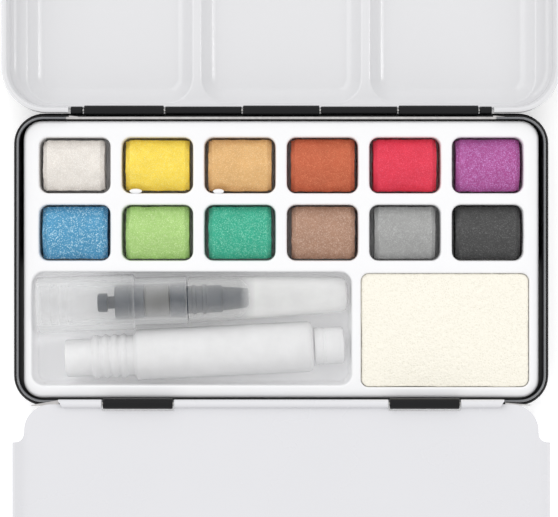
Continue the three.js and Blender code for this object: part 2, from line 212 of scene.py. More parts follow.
def block(name, low, high):
    """A square cutting block between two corners, in millimetres."""
    middle = [(a + b) / 2 * MM for a, b in zip(low, high)]
    bpy.ops.mesh.primitive_cube_add(size=1, location=middle)
    tool = bpy.context.object
    tool.name = name
    tool.scale = [(b - a) * MM for a, b in zip(low, high)]
    bpy.ops.object.transform_apply(location=True, rotation=True, scale=True)
    return tool


def turned(name, outline, start, end, sides=40, through=False):
    """A round piece from (along, radius) steps, laid from start towards end."""
    along, radius = outline[0]
    bpy.ops.mesh.primitive_circle_add(
        vertices=sides, radius=radius * MM, fill_type="NGON", location=(0, 0, along * MM)
    )
    piece = bpy.context.object
    piece.name = name
    bpy.ops.object.transform_apply(location=True, rotation=True, scale=True)
    bpy.ops.object.mode_set(mode="EDIT")
    bpy.ops.mesh.select_mode(type="FACE")
    bpy.ops.mesh.select_all(action="SELECT")
    for point in outline[1:]:
        lift(point[0] - along)
        grow = point[1] / radius
        if abs(grow - 1) > 1e-6:
            bpy.ops.transform.resize(value=(grow, grow, 1), center_override=(0, 0, point[0] * MM))
        along, radius = point
    if through:
        pick(lambda face: len(face.verts) > 4)
        bpy.ops.mesh.delete(type="FACE")
        pick(lambda edge: edge.is_boundary, "EDGE")
        bpy.ops.mesh.bridge_edge_loops()
    leave(0.0005)
    piece.rotation_mode = "QUATERNION"
    piece.rotation_quaternion = (Vector(end) - Vector(start)).to_track_quat("Z", "Y")
    piece.location = Vector(start) * MM
    bpy.ops.object.transform_apply(location=True, rotation=True, scale=True)
    return piece


def barrel_knuckle(name, x0, x1, y, z, outer, bore):
    """One rolled hinge knuckle along X."""
    length = x1 - x0
    steps = [
        (0, outer - 0.15), (0.15, outer), (length - 0.15, outer), (length, outer - 0.15),
        (length, bore), (0, bore),
    ]
    return turned(name, steps, (x0, y, z), (x1, y, z), 32, through=True)


def sliver(name, across, along, z, point):
    """A thin bare wedge of sheet: its near end is across[0], where it narrows to point."""
    (x0, x1), (y0, y1) = across, along
    bpy.ops.mesh.primitive_plane_add(
        size=1, location=((x0 + x1) / 2 * MM, (y0 + y1) / 2 * MM, z * MM)
    )
    piece = bpy.context.object
    piece.name = name
    piece.scale = (abs(x1 - x0) * MM, (y1 - y0) * MM, 1)
    bpy.ops.object.transform_apply(location=True, rotation=True, scale=True)
    bpy.ops.object.mode_set(mode="EDIT")
    pick(lambda edge: all(abs(v.co.x - x0 * MM) < 1e-6 for v in edge.verts), "EDGE")
    bpy.ops.transform.resize(value=(1, point, 1), center_override=(x0 * MM, y0 * MM, z * MM))
    bpy.ops.mesh.select_mode(type="FACE")
    bpy.ops.mesh.select_all(action="SELECT")
    lift(-0.3)
    leave()
    piece.data.materials.append(bare_edge)
    return piece


def painted(name, colour, roughness, coat, peel):
    """Sprayed and baked paint: faint orange peel in the gloss and a little dust."""
    paint = bpy.data.materials.new(name)
    paint.use_nodes = True
    nodes, links = paint.node_tree.nodes, paint.node_tree.links
    gloss = nodes["Principled BSDF"]
    gloss.inputs["Coat Weight"].default_value = coat
    gloss.inputs["Coat Roughness"].default_value = 0.06
    place = nodes.new("ShaderNodeTexCoord")
    waves = nodes.new("ShaderNodeTexNoise")
    waves.inputs["Scale"].default_value = 420
    waves.inputs["Detail"].default_value = 3
    links.new(place.outputs["Object"], waves.inputs["Vector"])
    skin = nodes.new("ShaderNodeBump")
    skin.inputs["Strength"].default_value = peel
    skin.inputs["Distance"].default_value = 0.00004
    links.new(waves.outputs["Fac"], skin.inputs["Height"])
    links.new(skin.outputs["Normal"], gloss.inputs["Normal"])
    smear = nodes.new("ShaderNodeTexNoise")
    smear.inputs["Scale"].default_value = 55
    smear.inputs["Detail"].default_value = 6
    links.new(place.outputs["Object"], smear.inputs["Vector"])
    dull = nodes.new("ShaderNodeMapRange")
    dull.inputs["From Min"].default_value = 0.35
    dull.inputs["From Max"].default_value = 0.7
    dull.inputs["To Min"].default_value = roughness
    dull.inputs["To Max"].default_value = roughness + 0.09
    links.new(smear.outputs["Fac"], dull.inputs["Value"])
    links.new(dull.outputs["Result"], gloss.inputs["Roughness"])
    shade = nodes.new("ShaderNodeMix")
    shade.data_type = "RGBA"
    shade.inputs["A"].default_value = (*colour, 1)
    shade.inputs["B"].default_value = (*[min(1, c * 0.97 + 0.004) for c in colour], 1)
    links.new(smear.outputs["Fac"], shade.inputs["Factor"])
    links.new(shade.outputs["Result"], gloss.inputs["Base Color"])
    return paint


black_lacquer = painted("black_lacquer", (0.007, 0.007, 0.008), 0.14, 0.0, 0.25)
black_lacquer.node_tree.nodes["Principled BSDF"].inputs["Specular IOR Level"].default_value = 0.18

tin_x, tin_y, tin_corner = 136, 74.3, 7.7
tin = plate("tin_body", tin_x, tin_y, tin_corner, 1.2)
lift(9.95)
press([
    (0.35, 0.35), (0.65, 0), (0, 3.05), (0.1, 0.33), (0.2, 0.12), (0.2, -0.12), (0.1, -0.33),
    (0, -12.75), (0.3, -0.8), (0.9, -0.4),
])
pick(lambda face: face.normal.z < -0.9 and len(face.verts) > 4)
press([(0.15, -0.5), (0.25, -0.35), (0.45, -0.25), (0.45, -0.1)])
leave()

bare_edge = bpy.data.materials.new("bare_tinplate")
bare_edge.use_nodes = True
bare_nodes, bare_links = bare_edge.node_tree.nodes, bare_edge.node_tree.links
bare_gloss = bare_nodes["Principled BSDF"]
bare_gloss.inputs["Metallic"].default_value = 0.9
bare_place = bare_nodes.new("ShaderNodeTexCoord")
bare_rub = bare_nodes.new("ShaderNodeTexNoise")
bare_rub.inputs["Scale"].default_value = 900
bare_rub.inputs["Detail"].default_value = 5
bare_tint = bare_nodes.new("ShaderNodeMix")
bare_tint.data_type = "RGBA"
bare_tint.inputs["A"].default_value = (0.42, 0.40, 0.40, 1)
bare_tint.inputs["B"].default_value = (0.66, 0.65, 0.64, 1)
bare_dull = bare_nodes.new("ShaderNodeMapRange")
bare_dull.inputs["To Min"].default_value = 0.25
bare_dull.inputs["To Max"].default_value = 0.5
bare_links.new(bare_place.outputs["Object"], bare_rub.inputs["Vector"])
bare_links.new(bare_rub.outputs["Fac"], bare_tint.inputs["Factor"])
bare_links.new(bare_tint.outputs["Result"], bare_gloss.inputs["Base Color"])
bare_links.new(bare_rub.outputs["Fac"], bare_dull.inputs["Value"])
bare_links.new(bare_dull.outputs["Result"], bare_gloss.inputs["Roughness"])

# Painted highlight: a lighter grey copy of the black lacquer for the crest of the rolled lip.
painted_lip_highlight = painted("painted_lip_highlight", (0.17, 0.175, 0.185), 0.2, 0.0, 0.25)
# Painted light: a dark grey copy of the black lacquer for the lit inner side of the neck.
painted_lit_inside = painted("painted_lit_inside", (0.04, 0.043, 0.05), 0.2, 0.0, 0.25)
tin_looks = [black_lacquer, bare_edge, painted_lip_highlight, painted_lit_inside]
lip_z, inside_z = 14.8, 11  # the painted lip highlight lies above the first, the painted lit inside above the second
for look in tin_looks:
    tin.data.materials.append(look)
# Faces above the lip get the painted highlight; inward faces above the inside height get the
# painted lit grey.
for face in tin.data.polygons:
    facing_in = face.normal.x * face.center.x + face.normal.y * face.center.y < 0
    if face.center.z > lip_z * MM:
        face.material_index = tin_looks.index(painted_lip_highlight)
    elif facing_in and face.center.z > inside_z * MM:
        face.material_index = tin_looks.index(painted_lit_inside)
# The lip is trimmed along the rear hinge, which leaves a bare cut edge.
trim = block("lip_trim", (-54.5, 35.45, 14.3), (54.5, 36.25, 16))
trim.data.materials.append(black_lacquer)
trim.data.materials.append(bare_edge)
for face in trim.data.polygons:
    face.material_index = tin_looks.index(bare_edge)
fit(tin, trim, "DIFFERENCE")
tin_parts = [tin]
pin_bore = 0.7
leaf_knuckle = 1.05
rear_y, rear_z, rear_knuckle = 37.8, 13.0, 1.3
for x0, x1 in ((-50, -29.8), (-9.7, 9.7), (29.8, 50)):
    tin_parts.append(barrel_knuckle("knuckle", x0, x1, rear_y, rear_z, rear_knuckle, pin_bore))
    tin_parts.append(block("strap", (x0, 36.55, 11.0), (x1, 37.14, 12.6)))
front_y, front_z, front_knuckle = -36.4, 16.5, 1.35
front_spans = ((-45, -27.4), (27.4, 45))
for x0, x1 in front_spans:
    tin_parts.append(barrel_knuckle("knuckle", x0, x1, front_y, front_z, front_knuckle, pin_bore))
    tin_parts.append(block("strap", (x0, -36.12, 14.2), (x1, -35.57, 15.9)))
for piece in tin_parts[1:]:
    piece.data.materials.append(black_lacquer)
tin_parts.append(sliver("rubbed_end", (56.6, 53.7), (36.15, 36.45), 14.2, 0.2))
tin_parts.append(sliver("rubbed_end", (-51.4, -53.8), (36.15, 36.45), 14.2, 0.2))
tin = together(tin_parts, "tin_body")
smooth(tin)
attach(tin, "base")
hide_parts("base_tin")


# ---- Hinge pins ----------------------------------------------------------------------
# Two lengths of bright drawn wire, one through the rear knuckles and one through the front.
wire = bpy.data.materials.new("drawn_wire")
wire.use_nodes = True
wire_nodes, wire_links = wire.node_tree.nodes, wire.node_tree.links
wire_gloss = wire_nodes["Principled BSDF"]
wire_gloss.inputs["Metallic"].default_value = 1
wire_gloss.inputs["Base Color"].default_value = (0.55, 0.54, 0.52, 1)
wire_place = wire_nodes.new("ShaderNodeTexCoord")
wire_stretch = wire_nodes.new("ShaderNodeMapping")
wire_stretch.inputs["Scale"].default_value = (40, 4000, 4000)
wire_lines = wire_nodes.new("ShaderNodeTexNoise")
wire_lines.inputs["Scale"].default_value = 1
wire_dull = wire_nodes.new("ShaderNodeMapRange")
wire_dull.inputs["To Min"].default_value = 0.22
wire_dull.inputs["To Max"].default_value = 0.42
wire_links.new(wire_place.outputs["Object"], wire_stretch.inputs["Vector"])
wire_links.new(wire_stretch.outputs["Vector"], wire_lines.inputs["Vector"])
wire_links.new(wire_lines.outputs["Fac"], wire_dull.inputs["Value"])
wire_links.new(wire_dull.outputs["Result"], wire_gloss.inputs["Roughness"])
for name in ("rear_hinge_pin", "front_hinge_pin"):
    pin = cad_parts[name]
    pin.data.materials.clear()
    pin.data.materials.append(wire)


# ---- Lid -----------------------------------------------------------------------------
# Drawn tinplate, black outside and white enamel inside, with a flat rolled rim and three
# mixing wells pressed into its panel. It lies folded right back on its hinge.
white_enamel = painted("white_enamel", (0.70, 0.70, 0.715), 0.14, 0.3, 0.12)


def bend(radius, count=6):
    """Steps of a quarter fillet that turns inward and flattens out."""
    steps, last = [], (0.0, 0.0)
    for i in range(1, count + 1):
        turn = math.pi / 2 * i / count
        here = (radius * (1 - math.cos(turn)), -radius * math.sin(turn))
        steps.append((here[0] - last[0], here[1] - last[1]))
        last = here
    return steps


rim_z = 13.7
ledge_z = 7.6
lid_x, lid_y0, lid_y1, lid_corner = 142, 37.15, 115.75, 11.7
lid_y = (lid_y0 + lid_y1) / 2
lid = plate("lid_shell", lid_x, lid_y1 - lid_y0, lid_corner, rim_z - 0.65, (0, lid_y), 14)
lid.data.materials.append(black_lacquer)
lid.data.materials.append(white_enamel)
lift(0.1)
press([(0.2, 0.4), (0.5, 0.15), (0.5, -0.12), (0.25, -0.45), (0.45, -3.53)])
press(bend(2.0))
pick(lambda face: face.normal.z < -0.9 and len(face.verts) > 4)
press([(0.25, -0.4), (0.55, -0.1), (0.5, -2.95)])
press(bend(2.6))
leave()

well_spans = ((-64.6, -23.1), (-20.1, 20.1), (23.1, 64.6))
well_y0, well_y1 = 40.55, 109.75
well_deep, well_corner, well_wall = well_y1 - well_y0, 6, 0.6
outer_wells, inner_wells = [], []
for x0, x1 in well_spans:
    middle = ((x0 + x1) / 2, (well_y0 + well_y1) / 2)
    shell = plate(
        "well_out", x1 - x0 + 2 * well_wall, well_deep + 2 * well_wall, well_corner + well_wall,
        ledge_z - 0.3, middle, 8,
    )
    lift(-0.4)
    press([(3.0, -2.3), (0.5, -0.35), (0.6, -0.2), (0.5, -0.05)])
    leave()
    outer_wells.append(shell)
    over = 0.9
    hollow = plate(
        "well_in", x1 - x0 + 2 * over, well_deep + 2 * over, well_corner + over,
        ledge_z + 0.5, middle, 10,
    )
    lift(-0.5)
    press(roll(over, 60, 5))
    press([(1.9, -1.63), (0.5, -0.4), (0.5, -0.3), (0.5, -0.17), (0.5, -0.05)])
    leave()
    inner_wells.append(hollow)
fit(lid, together(outer_wells, "wells_out"), "UNION")
fit(lid, together(inner_wells, "wells_in"), "DIFFERENCE")
fit(lid, block("hinge_cut", (-54, 36, 11.3), (54, 40.35, 15)), "DIFFERENCE")
fit(lid, block("flap_slot", (-64.8, 111.35, 9.6), (64.8, 117, 15)), "DIFFERENCE")
split_flats(lid)
lid_middle = Vector((0, lid_y * MM, 0))
lid_under, upright = 4.3, 0.02
for face in lid.data.polygons:
    inward = (lid_middle - face.center).dot(face.normal)
    low_outside = face.center.z < lid_under * MM or face.normal.z < -upright
    side_outside = abs(face.normal.z) <= upright and inward < 0
    face.material_index = 0 if low_outside or side_outside else 1
lid_parts = [lid]
for x0, x1 in ((-53.4, -50.4), (-29.4, -10.1), (10.1, 29.4), (50.4, 53.4)):
    lid_parts.append(barrel_knuckle("lid_knuckle", x0, x1, rear_y, rear_z, leaf_knuckle, pin_bore))
    lid_parts.append(block("lid_strap", (x0, 38.2, 10.8), (x1, 38.8, 13.0)))
for piece in lid_parts[1:]:
    piece.data.materials.append(black_lacquer)
lid = together(lid_parts, "lid_shell")
smooth(lid)
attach(lid, "lid")
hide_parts("lid")


# ---- Flap ----------------------------------------------------------------------------
# A thin pressed plate, enamelled white on both faces, that folds over the colours. It is
# plain by the hinge and has raised flanges along its sides and far edge.
flap_enamel = painted("flap_enamel", (0.70, 0.70, 0.725), 0.22, 0.2, 0.12)
flap_z = 15.45
flap_x, flap_long = 135.6, 71
flap_mid = front_y - flap_long / 2
flange_from = front_y - 7.6
flap = plate("flap_plate", flap_x, flap_long, 9, flap_z + 1.8, (0, flap_mid), 12)
lift(0.18)
press([(0.35, 0.1), (0.35, -0.1), (0.3, -0.2), (1.4, -0.85), (0.6, -0.25), (0.6, -0.08)])
pick(lambda face: face.normal.z < -0.9 and len(face.verts) > 4)
press([(0.3, -0.2), (1.9, -1.25), (0.6, -0.25), (0.6, -0.1)])
leave()
fit(flap, block("hinge_side", (-72, flange_from, 14), (72, -33, 19)), "DIFFERENCE")
# A round-cornered scoop out of the start of each side flange makes it rise in an S.
for side in (-1, 1):
    scoop = plate("scoop", 12, 12, 2.0, 14, (side * 71.05, flange_from + 3.9), 8)
    lift(6)
    leave()
    fit(flap, scoop, "DIFFERENCE")
neck = plate("flap_neck", 130, 20, 6.7, flap_z, (0, front_y - 10.2), 12)
lift(0.6)
leave()
fit(flap, neck, "UNION")
for x0, x1 in front_spans:
    fit(flap, block("knuckle_gap", (x0 - 0.3, -38.2, 14), (x1 + 0.3, -34, 19)), "DIFFERENCE")
flap_parts = [flap]
slant_at, slant = 55.8, -0.62
for x0, x1 in ((-56.4, -45.3), (-27.1, 27.1), (45.3, 56.4)):
    knuckle = barrel_knuckle("flap_knuckle", x0, x1, front_y, front_z, leaf_knuckle, pin_bore)
    flap_parts.append(knuckle)
    if x0 * x1 > 0:  # the two short end knuckles are cut off at a slant
        side = 1 if x0 > 0 else -1
        bpy.ops.object.mode_set(mode="EDIT")
        bpy.ops.mesh.select_all(action="SELECT")
        bpy.ops.mesh.bisect(
            plane_co=(side * slant_at * MM, front_y * MM, front_z * MM),
            plane_no=(side, slant, 0), clear_outer=True,
        )
        leave(0.0005)
for piece in flap_parts:
    piece.data.materials.clear()
    piece.data.materials.append(flap_enamel)
flap_parts.append(sliver("torn_corner", (-63.2, -56.2), (-36.98, -35.5), 16.0, 0.12))
flap_parts.append(sliver("torn_corner", (63.0, 56.6), (-36.9, -36.2), 16.0, 0.3))
flap = together(flap_parts, "flap_plate")
smooth(flap)
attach(flap, "flap")
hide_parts("flap")


# ---- Tray ----------------------------------------------------------------------------
# Vacuum-formed white plastic sheet dropped into the tin: twelve wells for the colours, a
# bay for the brush and one for the sponge, all hanging under a flat top.
tray_plastic = bpy.data.materials.new("tray_plastic")
tray_plastic.use_nodes = True
tray_nodes, tray_links = tray_plastic.node_tree.nodes, tray_plastic.node_tree.links
tray_gloss = tray_nodes["Principled BSDF"]
tray_gloss.inputs["Specular IOR Level"].default_value = 0.45
tray_place = tray_nodes.new("ShaderNodeTexCoord")
tray_waves = tray_nodes.new("ShaderNodeTexNoise")
tray_waves.inputs["Scale"].default_value = 160
tray_waves.inputs["Detail"].default_value = 4
tray_tint = tray_nodes.new("ShaderNodeMix")
tray_tint.data_type = "RGBA"
tray_tint.inputs["A"].default_value = (0.83, 0.83, 0.85, 1)
tray_tint.inputs["B"].default_value = (0.85, 0.85, 0.85, 1)
tray_dull = tray_nodes.new("ShaderNodeMapRange")
tray_dull.inputs["To Min"].default_value = 0.3
tray_dull.inputs["To Max"].default_value = 0.46
tray_skin = tray_nodes.new("ShaderNodeBump")
tray_skin.inputs["Strength"].default_value = 0.25
tray_skin.inputs["Distance"].default_value = 0.0002
# Painted light: the sheet glows low down at the front, in place of light coming through
# the thin sheet, which keeps the brush bay's floor pale.
tray_where = tray_nodes.new("ShaderNodeSeparateXYZ")
tray_depth = tray_nodes.new("ShaderNodeMapRange")
tray_depth.inputs["From Min"].default_value = 0.011
tray_depth.inputs["From Max"].default_value = 0.004
tray_depth.inputs["To Max"].default_value = 0.14
tray_front = tray_nodes.new("ShaderNodeMapRange")
tray_front.inputs["From Min"].default_value = 0.001
tray_front.inputs["From Max"].default_value = -0.003
tray_painted_glow = tray_nodes.new("ShaderNodeMath")
tray_painted_glow.operation = "MULTIPLY"
tray_gloss.inputs["Emission Color"].default_value = (1, 1, 1, 1)
tray_links.new(tray_place.outputs["Object"], tray_where.inputs["Vector"])
tray_links.new(tray_where.outputs["Z"], tray_depth.inputs["Value"])
tray_links.new(tray_where.outputs["Y"], tray_front.inputs["Value"])
tray_links.new(tray_depth.outputs["Result"], tray_painted_glow.inputs[0])
tray_links.new(tray_front.outputs["Result"], tray_painted_glow.inputs[1])
tray_links.new(tray_painted_glow.outputs["Value"], tray_gloss.inputs["Emission Strength"])
tray_links.new(tray_place.outputs["Object"], tray_waves.inputs["Vector"])
tray_links.new(tray_waves.outputs["Fac"], tray_tint.inputs["Factor"])
tray_links.new(tray_tint.outputs["Result"], tray_gloss.inputs["Base Color"])
tray_links.new(tray_waves.outputs["Fac"], tray_dull.inputs["Value"])
tray_links.new(tray_dull.outputs["Result"], tray_gloss.inputs["Roughness"])
tray_links.new(tray_waves.outputs["Fac"], tray_skin.inputs["Height"])
tray_links.new(tray_skin.outputs["Normal"], tray_gloss.inputs["Normal"])

tray_low, tray_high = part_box("tray")
tray_top, tray_foot = 13.7, 0.9
tray_wall = 0.7
tray_x, tray_corner = 130.7, 4.6
tray_y = (tray_low.y + tray_high.y) / 2 / MM
tray_deep = (tray_high.y - tray_low.y) / MM
tray = plate("tray_sheet", tray_x, tray_deep, tray_corner, tray_foot, (0, tray_y), 8)
lift(tray_top - tray_foot - 0.9)
press([(0.12, 0.45), (0.3, 0.3), (0.45, 0.15)])
leave()
under = plate(
    "tray_under", tray_x - 2 * tray_wall, tray_deep - 2 * tray_wall, tray_corner - tray_wall,
    -1, (0, tray_y), 8,
)
lift(1 + tray_top - tray_wall - 0.4)
press([(0.4, 0.4)])
leave()
fit(tray, under, "DIFFERENCE")
# Each bay is middle x and y, width, depth, corner, floor height and how far its walls lean in.
pitch_x, rows = 20.95, (23.9, 6.8)
bays = [((column - 2.5) * pitch_x, y, 18.1, 14.2, 2.3, 5, 0.2) for y in rows for column in range(6)]
bays.append((-22.65, -17.5, 81.1, 28.8, 3, 1.6, 0.4))
bays.append((41.55, -17.95, 42.7, 28.9, 2, 1.6, 0.3))
bay_floor = 0.8
outer_bays, inner_bays = [], []
for x, y, wide, deep, corner, floor, draft in bays:
    shell = plate(
        "bay_out", wide + 2 * tray_wall, deep + 2 * tray_wall, corner + tray_wall,
        tray_top - 0.2, (x, y), 6,
    )
    lift(-0.5)
    press([(draft, floor - tray_top)])
    leave()
    outer_bays.append(shell)
    over = 0.55
    hollow = plate(
        "bay_in", wide + 2 * over, deep + 2 * over, corner + over, tray_top + 0.5, (x, y), 8
    )
    lift(-0.5)
    press(roll(over, 78, 5))
    press([(draft, floor + bay_floor + over * 0.79 - tray_top)])
    press([(0.1, -0.45), (0.25, -0.25), (0.35, -0.1)])
    leave()
    inner_bays.append(hollow)
fit(tray, together(outer_bays, "bays_out"), "UNION")
fit(tray, together(inner_bays, "bays_in"), "DIFFERENCE")
# Two beads of moulding flash stand on the front edges of the yellow and gold wells.
bead_radius = 0.62
for x, y, wide in ((-36.9, 17.35, 1.6), (-15.9, 17.3, 1.4)):
    bpy.ops.mesh.primitive_uv_sphere_add(
        segments=20, ring_count=12, radius=bead_radius * MM,
        location=(x * MM, y * MM, (tray_top - 0.35) * MM),
    )
    bead = bpy.context.object
    bead.scale = (wide / bead_radius, 1, 0.9)
    bpy.ops.object.transform_apply(location=True, rotation=True, scale=True)
    fit(tray, bead, "UNION")
split_flats(tray)
tray.data.materials.clear()
tray.data.materials.append(tray_plastic)
smooth(tray)
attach(tray, "tray")
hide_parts("tray")


# ---- Colours -------------------------------------------------------------------------
# Twelve cakes of gum-bound pigment full of mica, cut from an extruded loaf: crowned
# across, with cut ends, each dropped into its own well.
flakes = bpy.data.node_groups.new("mica_flakes", "ShaderNodeTree")
flakes.interface.new_socket("Vector", in_out="INPUT", socket_type="NodeSocketVector")
flakes.interface.new_socket("Pigment", in_out="INPUT", socket_type="NodeSocketColor")
flakes.interface.new_socket("Glint", in_out="INPUT", socket_type="NodeSocketColor")
flakes.interface.new_socket("Size", in_out="INPUT", socket_type="NodeSocketFloat")
flakes.interface.new_socket("Amount", in_out="INPUT", socket_type="NodeSocketFloat")
flakes.interface.new_socket("Color", in_out="OUTPUT", socket_type="NodeSocketColor")
flakes.interface.new_socket("Flake", in_out="OUTPUT", socket_type="NodeSocketFloat")
flakes.interface.new_socket("Normal", in_out="OUTPUT", socket_type="NodeSocketVector")
fn, fl = flakes.nodes, flakes.links
f_in = fn.new("NodeGroupInput")
f_out = fn.new("NodeGroupOutput")
f_cells = fn.new("ShaderNodeTexVoronoi")
f_cells.feature = "F1"
f_split = fn.new("ShaderNodeSeparateColor")
f_pick = fn.new("ShaderNodeMapRange")
f_pick.inputs["From Max"].default_value = 1
f_less = fn.new("ShaderNodeMath")
f_less.operation = "SUBTRACT"
f_less.inputs[0].default_value = 1
f_cloud = fn.new("ShaderNodeTexNoise")
f_cloud.inputs["Scale"].default_value = 260
f_cloud.inputs["Detail"].default_value = 5
f_dark = fn.new("ShaderNodeMix")
f_dark.data_type = "RGBA"
f_dark.blend_type = "MULTIPLY"
f_dark.inputs["Factor"].default_value = 0.25
f_mix = fn.new("ShaderNodeMix")
f_mix.data_type = "RGBA"
f_geo = fn.new("ShaderNodeNewGeometry")
f_half = fn.new("ShaderNodeVectorMath")
f_half.operation = "SUBTRACT"
f_half.inputs[1].default_value = (0.5, 0.5, 0.5)
f_tilt = fn.new("ShaderNodeVectorMath")
f_tilt.operation = "SCALE"
f_tilt.inputs["Scale"].default_value = 0.3
f_add = fn.new("ShaderNodeVectorMath")
f_add.operation = "ADD"
f_norm = fn.new("ShaderNodeVectorMath")
f_norm.operation = "NORMALIZE"
fl.new(f_in.outputs["Vector"], f_cells.inputs["Vector"])
fl.new(f_in.outputs["Size"], f_cells.inputs["Scale"])
fl.new(f_in.outputs["Vector"], f_cloud.inputs["Vector"])
fl.new(f_cells.outputs["Color"], f_split.inputs["Color"])
fl.new(f_in.outputs["Amount"], f_less.inputs[1])
fl.new(f_split.outputs["Red"], f_pick.inputs["Value"])
fl.new(f_less.outputs["Value"], f_pick.inputs["From Min"])
fl.new(f_in.outputs["Pigment"], f_dark.inputs["A"])
fl.new(f_cloud.outputs["Fac"], f_dark.inputs["B"])
fl.new(f_dark.outputs["Result"], f_mix.inputs["A"])
fl.new(f_in.outputs["Glint"], f_mix.inputs["B"])
fl.new(f_pick.outputs["Result"], f_mix.inputs["Factor"])
fl.new(f_mix.outputs["Result"], f_out.inputs["Color"])
fl.new(f_pick.outputs["Result"], f_out.inputs["Flake"])
fl.new(f_cells.outputs["Color"], f_half.inputs[0])
fl.new(f_half.outputs["Vector"], f_tilt.inputs[0])
fl.new(f_geo.outputs["Normal"], f_add.inputs[0])
fl.new(f_tilt.outputs["Vector"], f_add.inputs[1])
fl.new(f_add.outputs["Vector"], f_norm.inputs[0])
fl.new(f_norm.outputs["Vector"], f_out.inputs["Normal"])


def pearl(name, pigment, glint, size, amount):
    """Mica pigment: matt body colour with bright flakes lying at odd angles."""
    cake = bpy.data.materials.new(name)
    cake.use_nodes = True
    nodes, links = cake.node_tree.nodes, cake.node_tree.links
    gloss = nodes["Principled BSDF"]
    gloss.inputs["Metallic"].default_value = 0.4
    place = nodes.new("ShaderNodeTexCoord")
    mica = nodes.new("ShaderNodeGroup")
    mica.node_tree = flakes
    mica.inputs["Pigment"].default_value = (*pigment, 1)
    mica.inputs["Glint"].default_value = (*glint, 1)
    mica.inputs["Size"].default_value = size
    mica.inputs["Amount"].default_value = amount
    links.new(place.outputs["Object"], mica.inputs["Vector"])
    links.new(mica.outputs["Color"], gloss.inputs["Base Color"])
    dull = nodes.new("ShaderNodeMapRange")
    dull.inputs["To Min"].default_value = 0.5
    dull.inputs["To Max"].default_value = 0.24
    links.new(mica.outputs["Flake"], dull.inputs["Value"])
    links.new(dull.outputs["Result"], gloss.inputs["Roughness"])
    grain = nodes.new("ShaderNodeTexNoise")
    grain.inputs["Scale"].default_value = 1300
    grain.inputs["Detail"].default_value = 6
    links.new(place.outputs["Object"], grain.inputs["Vector"])
    rough = nodes.new("ShaderNodeBump")
    rough.inputs["Strength"].default_value = 0.5
    rough.inputs["Distance"].default_value = 0.00012
    links.new(grain.outputs["Fac"], rough.inputs["Height"])
    links.new(mica.outputs["Normal"], rough.inputs["Normal"])
    links.new(rough.outputs["Normal"], gloss.inputs["Normal"])
    return cake


crumb = bpy.data.textures.new("crumb", "CLOUDS")
crumb.noise_scale = 0.0022
crumb.noise_depth = 3
crown_radius = 9.05
loaf_x, loaf_y, loaf_z = 16.2, 12.6, 9
bpy.ops.mesh.primitive_cylinder_add(
    vertices=128, radius=crown_radius * MM, depth=loaf_x * MM, rotation=(0, math.pi / 2, 0),
    location=(0, 0, -crown_radius * MM),
)
loaf = bpy.context.object
loaf.name = "loaf"
bpy.ops.object.transform_apply(location=True, rotation=True, scale=True)
bpy.ops.object.mode_set(mode="EDIT")
for point, way in (
    ((0, loaf_y / 2, 0), (0, 1, 0)), ((0, -loaf_y / 2, 0), (0, -1, 0)),
    ((0, 0, -loaf_z), (0, 0, -1)),
):
    bpy.ops.mesh.select_all(action="SELECT")
    bpy.ops.mesh.bisect(
        plane_co=[c * MM for c in point], plane_no=way, use_fill=True, clear_outer=True
    )
pick(
    lambda edge: all(abs(abs(v.co.x) - loaf_x / 2 * MM) < 1e-5 for v in edge.verts)
    and not all(abs(v.co.y) > (loaf_y / 2 - 0.01) * MM for v in edge.verts)
    and not all(v.co.z < (0.1 - loaf_z) * MM for v in edge.verts),
    "EDGE",
)
bpy.ops.mesh.bevel(offset=1.15 * MM, segments=1, affect="EDGES")
leave()
loaf.data.remesh_voxel_size = 0.3 * MM
loaf.data.remesh_voxel_adaptivity = 0
bpy.ops.object.voxel_remesh()

cakes = {
    "pearl": ((0.83, 0.78, 0.72), (1.0, 0.97, 0.93), 8000, 0.3),
    "yellow": ((0.98, 0.72, 0.07), (1.0, 0.88, 0.3), 8000, 0.3),
    "gold": ((0.78, 0.46, 0.18), (0.95, 0.66, 0.36), 8000, 0.3),
    "copper": ((0.56, 0.12, 0.05), (0.75, 0.24, 0.12), 8000, 0.3),
    "red": ((0.78, 0.035, 0.075), (0.9, 0.1, 0.17), 8000, 0.3),
    "violet": ((0.42, 0.08, 0.3), (0.62, 0.3, 0.66), 6500, 0.34),
    "blue": ((0.08, 0.32, 0.54), (0.55, 0.8, 0.92), 5000, 0.26),
    "lime": ((0.40, 0.64, 0.2), (0.66, 0.84, 0.42), 7000, 0.3),
    "green": ((0.035, 0.42, 0.27), (0.28, 0.72, 0.52), 7000, 0.28),
    "bronze": ((0.42, 0.24, 0.16), (0.62, 0.43, 0.34), 6500, 0.34),
    "silver": ((0.36, 0.36, 0.355), (0.52, 0.53, 0.52), 8000, 0.3),
    "black": ((0.06, 0.06, 0.06), (0.16, 0.16, 0.16), 8000, 0.24),
}
for name, (pigment, glint, size, amount) in cakes.items():
    low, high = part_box("paint_" + name)
    cake = bpy.data.objects.new("cake_" + name, loaf.data.copy())
    scene.collection.objects.link(cake)
    grown = high - low
    cake.scale = (grown.x / (loaf_x * MM), grown.y / (loaf_y * MM), grown.z / (loaf_z * MM))
    cake.location = ((low.x + high.x) / 2, (low.y + high.y) / 2, high.z)
    alone(cake)
    bpy.ops.object.transform_apply(location=True, rotation=True, scale=True)
    wear = cake.modifiers.new("wear", "DISPLACE")
    wear.texture = crumb
    wear.texture_coords = "GLOBAL"
    wear.strength = 0.00035
    wear.mid_level = 0.75
    bpy.ops.object.modifier_apply(modifier=wear.name)
    bpy.ops.object.shade_smooth()
    cake.data.materials.clear()
    cake.data.materials.append(pearl("pearl_" + name, pigment, glint, size, amount))
    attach(cake, "tray")
    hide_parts("paint_" + name)
bpy.data.objects.remove(loaf, do_unlink=True)


